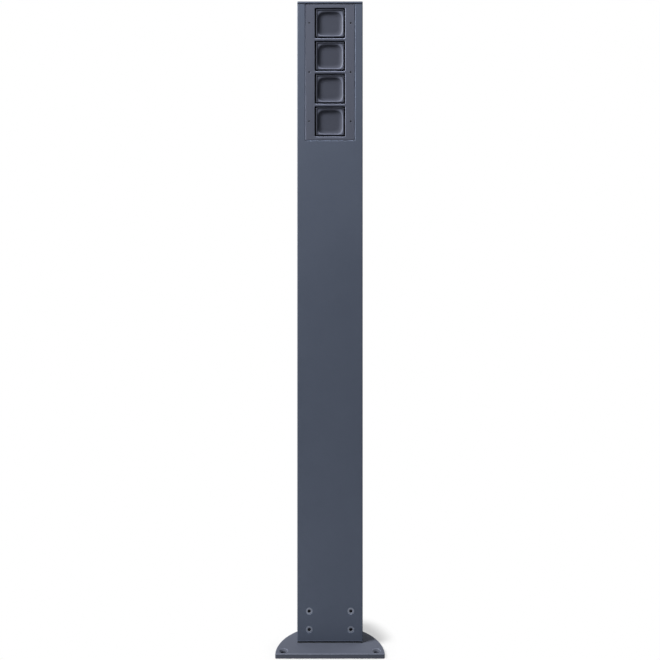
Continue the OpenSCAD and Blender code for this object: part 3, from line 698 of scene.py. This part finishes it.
def bare_metal(dark, light, rough, across=700, shade_level=0.003):
    """Bare metal with fine turning marks and a little handling dullness, with near-black painted shade deep
    in its recesses.
    """
    def recipe(shade):
        dull = shade.noise(90, detail=4)
        marks = shade.noise(across, detail=3, roughness=0.65)
        clean = shade.node("ShaderNodeBsdfPrincipled", inputs={
            "Base Color": (0.6 * dull + 0.4 * marks).pick(tint(dark), tint(light)), "Metallic": 1,
            "Roughness": rough + 0.18 * dull, "Normal": marks.relief(0.25, 0.03 * mm)})
        # Near-black painted shade, mixed in deep in sockets and corners.
        painted_shade = shade.node("ShaderNodeBsdfPrincipled", inputs={
            "Base Color": (shade_level, shade_level, shade_level * 1.2, 1), "Roughness": 0.9, "Specular IOR Level": 0.02})
        return shade.node("ShaderNodeMixShader", inputs={0: recess_shade(shade, 8 * mm), 1: clean, 2: painted_shade})
    return recipe


stainless = finish("stainless_steel", bare_metal((0.11, 0.122, 0.155), (0.18, 0.2, 0.245), rough=0.42))
column_screw = socket_screw(shank_r=4 * mm, head_r=7.3 * mm, length=23.5 * mm)
piece("column_socket_screws",
      copies(column_screw, [(x, front_y, z) for x, z in column_screw_places], inwards),
      stainless, ["column_screws"])


# Bracket and its bolts: a zinc-plated steel angle with two gussets on the plate, which the column
# slides over. Four countersunk bolts hold it from under the plate.
def eased(node, bevel):
    """A copy of a node's solid with welded, flat faces and broken edges."""
    solid = bmesh.new()
    solid.from_mesh(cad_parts[node].data)
    bmesh.ops.remove_doubles(solid, verts=solid.verts, dist=0.001 * mm)
    bmesh.ops.dissolve_limit(solid, angle_limit=math.radians(1), verts=solid.verts, edges=solid.edges)
    crisp = [e for e in solid.edges if e.is_manifold and e.calc_face_angle(0) > math.radians(40)]
    bmesh.ops.bevel(solid, geom=crisp, offset=bevel, segments=2, profile=0.5, affect="EDGES",
                    clamp_overlap=True)
    return closed_mesh(solid)


def eased_piece(name, node, bevel, material):
    """A piece that keeps its node's shape, with its edges broken."""
    piece(name, eased(node, bevel), material, [node])


zinc = finish("zinc_plated_steel", bare_metal((0.42, 0.43, 0.44), (0.68, 0.68, 0.66), rough=0.34, across=260))
eased_piece("bracket", "foot_bracket", 0.6 * mm, zinc)
foot_bolt = socket_screw(shank_r=4 * mm, head_r=8 * mm, length=plate_top + 6 * mm)
piece("bracket_bolts", copies(foot_bolt, [(x, y, 0) for x, y in bolt_places]), zinc,
      ["foot_bolts"])


# Cable grommet: a soft rubber bush in the plate's hole, lipped above the plate, for the supply
# cable that comes up from the ground.
grommet_low, grommet_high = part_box("cable_grommet")
grommet_bore = 10 * mm
grommet_r = 14.9 * mm
grommet_lip_r = 15.9 * mm
grommet_steps = [
    (grommet_bore, grommet_low.z + 0.6 * mm), (grommet_bore + 0.6 * mm, grommet_low.z),
    (grommet_r - 1 * mm, grommet_low.z), (grommet_r, grommet_low.z + 1 * mm), (grommet_r, plate_top),
    (grommet_lip_r - 0.3 * mm, plate_top), (grommet_lip_r, plate_top + 0.3 * mm),
    (grommet_lip_r, plate_top + 3 * mm), (grommet_r - 1.2 * mm, grommet_high.z - 0.4 * mm),
    (grommet_r - 2 * mm, grommet_high.z), (grommet_bore + 0.8 * mm, grommet_high.z),
    (grommet_bore, grommet_high.z - 0.8 * mm)]
grommet = turned(grommet_steps, 64, closed=True)
black_rubber = finish("black_rubber", rubber((0.010, 0.010, 0.011), (0.026, 0.026, 0.027)))
piece("rubber_grommet", copies(grommet, [(0, cable_y, 0)]), black_rubber, ["cable_grommet"])


# Cap: a 4 mm plate of the column's outline on a black seal, held by four countersunk screws that
# bite in the profile's screw ports. The seal is set back and shows as a dark line.
cap_low, cap_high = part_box("top_cap")
cap_top = cap_high.z
seal_low, seal_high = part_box("cap_seal")
cap_bore_r = 2.05 * mm
cap_sink_r = 4.05 * mm
cap_steps = [(cap_bore_r, cap_low.z), (cap_bore_r, cap_top - 2.1 * mm), (cap_sink_r, cap_top - 0.1 * mm),
             (cap_sink_r + 0.2 * mm, cap_top)]
piece("cap_plate", slab(edges(column_line, cap_low.z, cap_top, high_round=0.5 * mm),
                        [drilled(p, cap_steps, 32) for p in ports]),
      anthracite, ["top_cap"])
seal_setback = 2 * mm
seal_w = 9 * mm
piece("cap_gasket", half_ring(seal_setback, seal_w, seal_low.z, seal_high.z),
      black_rubber, ["cap_seal"])
cap_screw = socket_screw(shank_r=2 * mm, head_r=4 * mm, length=16 * mm)
piece("cap_socket_screws", copies(cap_screw, [(x, y, cap_top) for x, y in ports], downwards),
      stainless, ["cap_screws"])


# Front panel: 3 mm aluminium sheet flush in the column's milled opening, powder-coated, with four
# square windows and six small countersunk screws. Studs on its back carry the outlets.
panel_back = 3 * mm
panel_break = 1.1 * mm
panel_bore_r = 1.55 * mm
window_half = 33 * mm
window_corner = 2 * mm
outlets = 4
socket_z = [sum(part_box(f"socket_frame_{i}")[k].z for k in (0, 1)) / 2 for i in range(1, outlets + 1)]
panel_screw_z = [socket_z[0], (socket_z[0] + socket_z[-1]) / 2, socket_z[-1]]
panel_screw_places = [(x, z) for x in (-screw_x, screw_x) for z in panel_screw_z]
stud_x = 38.1 * mm
stud_up = 20 * mm
stud_pit = 1.5 * mm
stud_places = [(s * stud_x, z + up * stud_up) for s in (-1, 1) for z in socket_z for up in (-1, 1)]


def window(z, steps=6):
    return box_line(-window_half, window_half, z - window_half, z + window_half, window_corner, steps)


panel_line = box_line(panel_low.x, panel_high.x, panel_low.z, panel_high.z, panel_corner)
panel_side = [(inset(panel_line, panel_break), 0), (panel_line, panel_break), (panel_line, panel_back)]
panel_steps = [(2.95 * mm, 0), (2.8 * mm, 0.15 * mm), (panel_bore_r, 1.4 * mm), (panel_bore_r, panel_back)]
panel_holes = [edges(clockwise(window(z)), 0, panel_back, low_round=panel_break) for z in socket_z]
panel_holes += [drilled(p, panel_steps, 32) for p in panel_screw_places]
stud_pits = [drilled(p, [(panel_bore_r, panel_back), (panel_bore_r, stud_pit)], 20) for p in stud_places]
panel_coat = finish("panel_powder_coat", powder_coat(
    (0.064, 0.072, 0.1), (0.084, 0.093, 0.126), front_edge))
piece("front_plate", slab(panel_side, panel_holes, stud_pits, upright=True),
      panel_coat, ["front_panel"])
blackened = finish("blackened_steel", bare_metal(
    (0.035, 0.038, 0.048), (0.06, 0.065, 0.08), rough=0.45, shade_level=0.02))
panel_screw = socket_screw(shank_r=1.5 * mm, head_r=2.7 * mm, length=11.2 * mm)
piece("panel_socket_screws",
      copies(panel_screw, [(x, front_y, z) for x, z in panel_screw_places], inwards),
      blackened, ["panel_screws"])


def coated(node, material):
    """A node that keeps its own shape gets its material."""
    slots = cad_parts[node].data.materials
    slots.clear()
    slots.append(material)


coated("panel_seal", black_rubber)
stud = turned([(1.2 * mm, 0), (1.5 * mm, 0.3 * mm), (1.5 * mm, 9.2 * mm), (1.2 * mm, 9.5 * mm)], 24)
piece("weld_studs", copies(stud, [(x, front_y + stud_pit, z) for x, z in stud_places], inwards), zinc,
      ["panel_studs"])
eased_piece("nuts", "stud_nuts", 0.15 * mm, zinc)


# Outlets: each has a black moulded frame with the lid's recess and hinge ears, a round plug well
# with two brass earth clips and guide ribs, and the contacts' housing behind it.
def moulding(base, light, rough, gloss=0.35, rim_wear_and_highlight=None):
    """Moulded plastic with the fine spark-eroded texture of its tool, painted lighter along its edges:
    a little polished by touch, and a painted highlight."""
    def recipe(shade):
        grain = shade.noise(2200, detail=2)
        flow = shade.noise(40, detail=3)
        edge = worn_and_lit_edges(shade, 0.7 * mm)
        if rim_wear_and_highlight:
            edge = edge.most(rim_wear_and_highlight(shade))
        # Edges and the hollow's rim painted lighter: polish from touch, and a painted highlight.
        touched_and_lit = edge * (0.6 + 0.4 * shade.noise(160, detail=3))
        plain = (0.6 * flow + 0.4 * grain).pick(tint(base), tint(light))
        return shade.node("ShaderNodeBsdfPrincipled", inputs={
            "Base Color": touched_and_lit.pick(plain, tint(light, wear_and_highlight_tint)),
            "Roughness": rough + 0.12 * grain - 0.08 * touched_and_lit,
            "Specular IOR Level": gloss, "Normal": grain.relief(0.3, 0.03 * mm)})
    return recipe


black_plastic = finish("black_moulding", moulding(
    (0.008, 0.008, 0.010), (0.017, 0.017, 0.020), rough=0.45, gloss=0.12))
brass = finish("brass", bare_metal((0.42, 0.29, 0.10), (0.72, 0.55, 0.24), rough=0.26, across=900))
outlet_parts = (
    ("outlet_frame", "socket_frame", 0.2 * mm, black_plastic, "black_plastic"),
    ("well", "plug_well", 0.25 * mm, black_plastic, "black_plastic"),
    ("side_clips", "earth_clip", 0.12 * mm, brass, "brass"),
    ("pin_sleeves", "contact_sleeves", 0.1 * mm, brass, "brass"),
    ("rear_housing", "terminal_housing", 0.4 * mm, black_plastic, "black_plastic"))
for i in range(1, outlets + 1):
    for name, node, bevel, material, slot in outlet_parts:
        eased_piece(f"{name}_{i}", f"{node}_{i}", bevel, material)


# Lids: satin mouldings with a raised lip, a flat land and a deep rounded hollow in front. The back is
# shelled between the skirt and a round land, which carries the seal; notches clear the hinge.
lid_half = 29.75 * mm
lid_corner = 1.5 * mm
lid_t = 7 * mm
lid_wall = 2 * mm
lip_w = 1.25 * mm
lip_h = 0.85 * mm
lip_round = 0.7 * mm
lip_ease = 0.12 * mm
dish_side = 27.5 * mm
dish_top = 25.75 * mm
dish_rim = 27.5 * mm
dish_depth = 4.6 * mm
dish_floor = 17.75 * mm
rim_power = 12
wall_power = 6
floor_power = 3.6
upper_share = 0.72
hinge_up = 26.55 * mm
hinge_y = 4.5 * mm
pin_r = 1.25 * mm


def rounded(half):
    """Radius function of a square of a half width, with the lid's rounded corners."""
    def reach(a):
        c, s = abs(math.cos(a)), abs(math.sin(a))
        flat = half / max(c, s)
        straight = half - lid_corner
        if flat * min(c, s) <= straight:
            return flat
        k = straight * (c + s)
        return k + math.sqrt(k * k - 2 * straight ** 2 + lid_corner ** 2)
    return reach


def squarish(side, top, power):
    """Radius function of a square with bulging sides: a higher power is squarer. Its upper half
    has a height of its own, and rounder corners that keep clear of the hinge."""
    def reach(a):
        upper = math.sin(a) > 0
        up, p = (top, power * upper_share) if upper else (side, power)
        return (abs(math.cos(a) / side) ** p + abs(math.sin(a) / up) ** p) ** (-1 / p)
    return reach


side_steps = 22
along_side = [(2 * k / side_steps - 1) * (lid_half - lid_corner) for k in range(1, side_steps)]
lid_points = box_line(-lid_half, lid_half, -lid_half, lid_half, lid_corner, 6)
lid_points += [p for t in along_side for p in (
    (t, lid_half), (t, -lid_half), (lid_half, t), (-lid_half, t))]
lid_turns = sorted(math.atan2(v, u) for u, v in lid_points)


def lofted(rings):
    """A closed solid through rings of (radius function, depth), drawn upright about 0."""
    def drawn(reach):
        return [(reach(a) * math.cos(a), reach(a) * math.sin(a)) for a in lid_turns]
    return slab([(drawn(reach), depth) for reach, depth in rings], upright=True)


def dish_rings(out, depth, steps):
    """The hollow's wall: a quarter ellipse that curves into its floor, or one around it."""
    made = []
    for k in range(1, steps + 1):
        s = math.pi / 2 * k / steps
        side, top = [dish_floor + out + (half - dish_floor) * math.cos(s) for half in (dish_side, dish_top)]
        power = wall_power - (wall_power - floor_power) * k / steps
        made.append((squarish(side, top, power), depth * math.sin(s)))
    return made


lip_half = lid_half - lip_w
quarter_turn = [math.pi / 2 * k / 4 for k in range(5)]
lid_front = [(rounded(lid_half - lip_round * (1 - math.cos(a))), lip_round * (1 - math.sin(a)))
             for a in quarter_turn]
lid_front += [(rounded(lip_half + 0.15 * mm), 0), (rounded(lip_half), 0.15 * mm),
              (rounded(lip_half), lip_h - lip_ease), (rounded(lip_half - lip_ease), lip_h)]
lid_front += [(squarish(dish_side + 0.45 * mm, dish_rim, rim_power), lip_h + 0.08 * mm),
              (squarish(dish_side + 0.1 * mm, dish_top + 0.3 * mm, wall_power), lip_h + 0.5 * mm)]
lid_front += [ring for ring in dish_rings(0, dish_depth, 12) if ring[1] > lip_h + 0.8 * mm]
lid_front += [(squarish(dish_floor * share, dish_floor * share, floor_power), dish_depth)
              for share in (0.7, 0.35)]
lid_edge = 0.25 * mm
lid_block = lofted([(rounded(lid_half - lid_edge), lid_t), (rounded(lid_half), lid_t - lid_edge)]
                   + lid_front)
skirt = lid_half - lid_wall
pocket_top = hinge_up - 4.75 * mm
pocket_line = box_line(-skirt, skirt, -skirt, pocket_top, 1 * mm)
pocket = slab([(pocket_line, lid_t - 3.8 * mm), (pocket_line, lid_t + 1 * mm)], upright=True)
bulge = lofted([(squarish(dish_side + lid_wall, dish_top + lid_wall, wall_power), 0)]
               + dish_rings(lid_wall, dish_depth + lid_wall, 10))
land_r = 23.8 * mm
land = slab([(circle((0, 0), land_r, 96), d) for d in (0, lid_t + past)], upright=True)
groove_r = (20.4 * mm, 22.6 * mm)
groove_floor = lid_t - 0.8 * mm
groove = turned([(groove_r[0], groove_floor), (groove_r[1], groove_floor),
                 (groove_r[1], lid_t + 1 * mm), (groove_r[0], lid_t + 1 * mm)], 96, closed=True)
groove.transform(Matrix.Translation((0, front_y, 0)) @ inwards)


def crosswise(line, x0, x1):
    """A bar along X from a drawing in (depth, z)."""
    mesh = slab([(line, x0), (line, x1)])
    mesh.transform(Matrix(((0, 0, 1, 0), (1, 0, 0, front_y), (0, 1, 0, 0), (0, 0, 0, 1))))
    return mesh


past_side = 40 * mm
ear_x = (21.6 * mm, 25.9 * mm)
ear_front = 1.7 * mm
ear_drop = 3.1 * mm
coil_x = (9.6 * mm, 18.4 * mm)
coil_r = 2.5 * mm
coil_front = 1.9 * mm
leg_x = (16.4 * mm, 18.4 * mm)
leg_drop = 7.5 * mm
notch_top = lid_half + past
notch_back = lid_t + past
pin_hole = crosswise(circle((hinge_y, hinge_up), pin_r + 0.08 * mm, 32), -past_side, past_side)
ear_notch = box_line(ear_front, notch_back, hinge_up - ear_drop, notch_top, 0.4 * mm)
coil_notch = [circle((hinge_y, hinge_up), coil_r), box_line(coil_front, notch_back, hinge_up, notch_top),
              box_line(hinge_y, notch_back, hinge_up - coil_r + 0.2 * mm, hinge_up + 1 * mm)]
leg_notch = box_line(hinge_y + 1 * mm, notch_back, hinge_up - leg_drop, hinge_up)
lid_mesh = cut(lid_block, cut(pocket, bulge, land), groove, pin_hole,
               crosswise(ear_notch, *ear_x), crosswise(ear_notch, -ear_x[1], -ear_x[0]),
               *[crosswise(line, *coil_x) for line in coil_notch], crosswise(leg_notch, *leg_x))


def rim_wear_and_highlight(shade):
    """1 on the hollow's rim, which is painted lighter: rubbed by fingers, and a painted highlight."""
    depth = shade.along("Y") - front_y
    return (depth > lip_h + 0.15 * mm) * (depth < lip_h + 1.3 * mm)


lid_plastic = finish("satin_lid_moulding", moulding(
    (0.044, 0.048, 0.065), (0.056, 0.061, 0.082), rough=0.45, gloss=0.05, rim_wear_and_highlight=rim_wear_and_highlight))
seal_r = (20.45 * mm, 22.55 * mm)
seal_round = 0.45 * mm
seal_foot = lid_t - 0.78 * mm
seal_top = lid_t + 1.35 * mm
lid_seal = turned([
    (seal_r[0], seal_foot), (seal_r[1], seal_foot), (seal_r[1], seal_top - seal_round),
    (seal_r[1] - seal_round, seal_top), (seal_r[0] + seal_round, seal_top),
    (seal_r[0], seal_top - seal_round)], 96, closed=True)
for i, z in enumerate(socket_z, 1):
    piece(f"lid_shell_{i}", copies(lid_mesh, [(0, 0, z)]), lid_plastic, [f"lid_{i}"],
          f"lid_flap_{i}")
    piece(f"lid_gasket_{i}", copies(lid_seal, [(0, front_y, z)], inwards), black_rubber,
          [f"lid_seal_{i}"], f"lid_flap_{i}")


# Hinge: a stainless pin through each frame's ears, and a torsion spring on it whose legs press on
# the frame's floor and on the lid, so that the lid closes by itself.
def wire(line, radius, sides=10):
    """A round wire along a line of points, its ends closed."""
    solid = bmesh.new()
    points = [Vector(p) for p in line]
    turns = [2 * math.pi * j / sides for j in range(sides)]
    side = None
    made = []
    for k, here in enumerate(points):
        way = (points[min(k + 1, len(points) - 1)] - points[max(k - 1, 0)]).normalized()
        side = (side - way * side.dot(way) if side else way.orthogonal()).normalized()
        up = way.cross(side)
        made.append([solid.verts.new(here + radius * (math.cos(a) * side + math.sin(a) * up))
                     for a in turns])
    for first, second in zip(made, made[1:]):
        for j in range(sides):
            solid.faces.new((first[j - 1], first[j], second[j], second[j - 1]))
    solid.faces.new(made[0])
    solid.faces.new(made[-1])
    return closed_mesh(solid)


pin_half = 29.05 * mm
pin_edge = 0.25 * mm
pin = turned([(pin_r - pin_edge, -pin_half), (pin_r, -pin_half + pin_edge),
              (pin_r, pin_half - pin_edge), (pin_r - pin_edge, pin_half)], 32)
sideways = Matrix.Rotation(math.radians(90), 4, "Y")
spring_x = 10.7 * mm
spring_pitch = 1.35 * mm
spring_r = 1.9 * mm
spring_turns = 5.25
spring_leg = 6.5 * mm
spring_wire_r = 0.4 * mm
frame_floor = 10 * mm
leg_back = frame_floor - spring_wire_r - 0.2 * mm
coil_steps = 24
spring_line = [(spring_x, leg_back - hinge_y, spring_r), (spring_x, spring_r, spring_r)]
for k in range(int(coil_steps * spring_turns) + 1):
    a = 2 * math.pi * k / coil_steps
    spring_line.append((spring_x + spring_pitch * k / coil_steps,
                        spring_r * math.sin(a), spring_r * math.cos(a)))
spring_end = spring_x + spring_pitch * spring_turns
spring_line += [(spring_end, spring_r, -spring_leg / 2), (spring_end, spring_r, -spring_leg)]
spring = wire(spring_line, spring_wire_r)
for i, z in enumerate(socket_z, 1):
    axis = Vector((0, front_y + hinge_y, z + hinge_up))
    piece(f"pin_{i}", copies(pin, [axis], sideways), stainless, [f"hinge_pin_{i}"])
    coil = piece(f"torsion_spring_{i}", copies(spring, [axis]), stainless,
                 [f"lid_spring_{i}"], None)
    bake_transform(coil)


# Terminals: a zinc-plated plate slid into the profile's rails, with a moulded block for the supply
# cable, its brass earth screw, and three insulated leads up to the outlets.
pale_plastic = finish("pale_moulding", moulding((0.50, 0.50, 0.47), (0.62, 0.62, 0.59), rough=0.4))
brown = (0.12, 0.045, 0.02, 1)
green = (0.03, 0.22, 0.04, 1)
yellow = (0.65, 0.55, 0.03, 1)
blue = (0.02, 0.08, 0.38, 1)
between_leads = 5 * mm


def lead_insulation(shade):
    """Insulation of the three leads: brown, green with yellow stripes, and blue, told by their place."""
    place = shade.node("ShaderNodeTexCoord", output="Object")
    across = shade.along("X")
    spiral = shade.node("ShaderNodeTexWave", {"wave_type": "BANDS", "bands_direction": "DIAGONAL"}, {
        "Vector": place, "Scale": 60.0})
    earth = (spiral > 0.6).pick(green, yellow)
    brown_or_earth = (across > -between_leads).pick(brown, earth)
    return shade.node("ShaderNodeBsdfPrincipled", inputs={
        "Base Color": (across > between_leads).pick(brown_or_earth, blue),
        "Roughness": 0.32 + 0.12 * shade.noise(1200), "Specular IOR Level": 0.5})


eased_piece("rail_plate", "terminal_plate", 0.3 * mm, zinc)
eased_piece("supply_block", "terminal_block", 0.3 * mm, pale_plastic)
eased_piece("clamp_screws", "terminal_screws", 0.1 * mm, zinc)
eased_piece("earth_stud", "earth_screw", 0.15 * mm, brass)
coated("wiring_leads", finish("lead_insulation", lead_insulation))
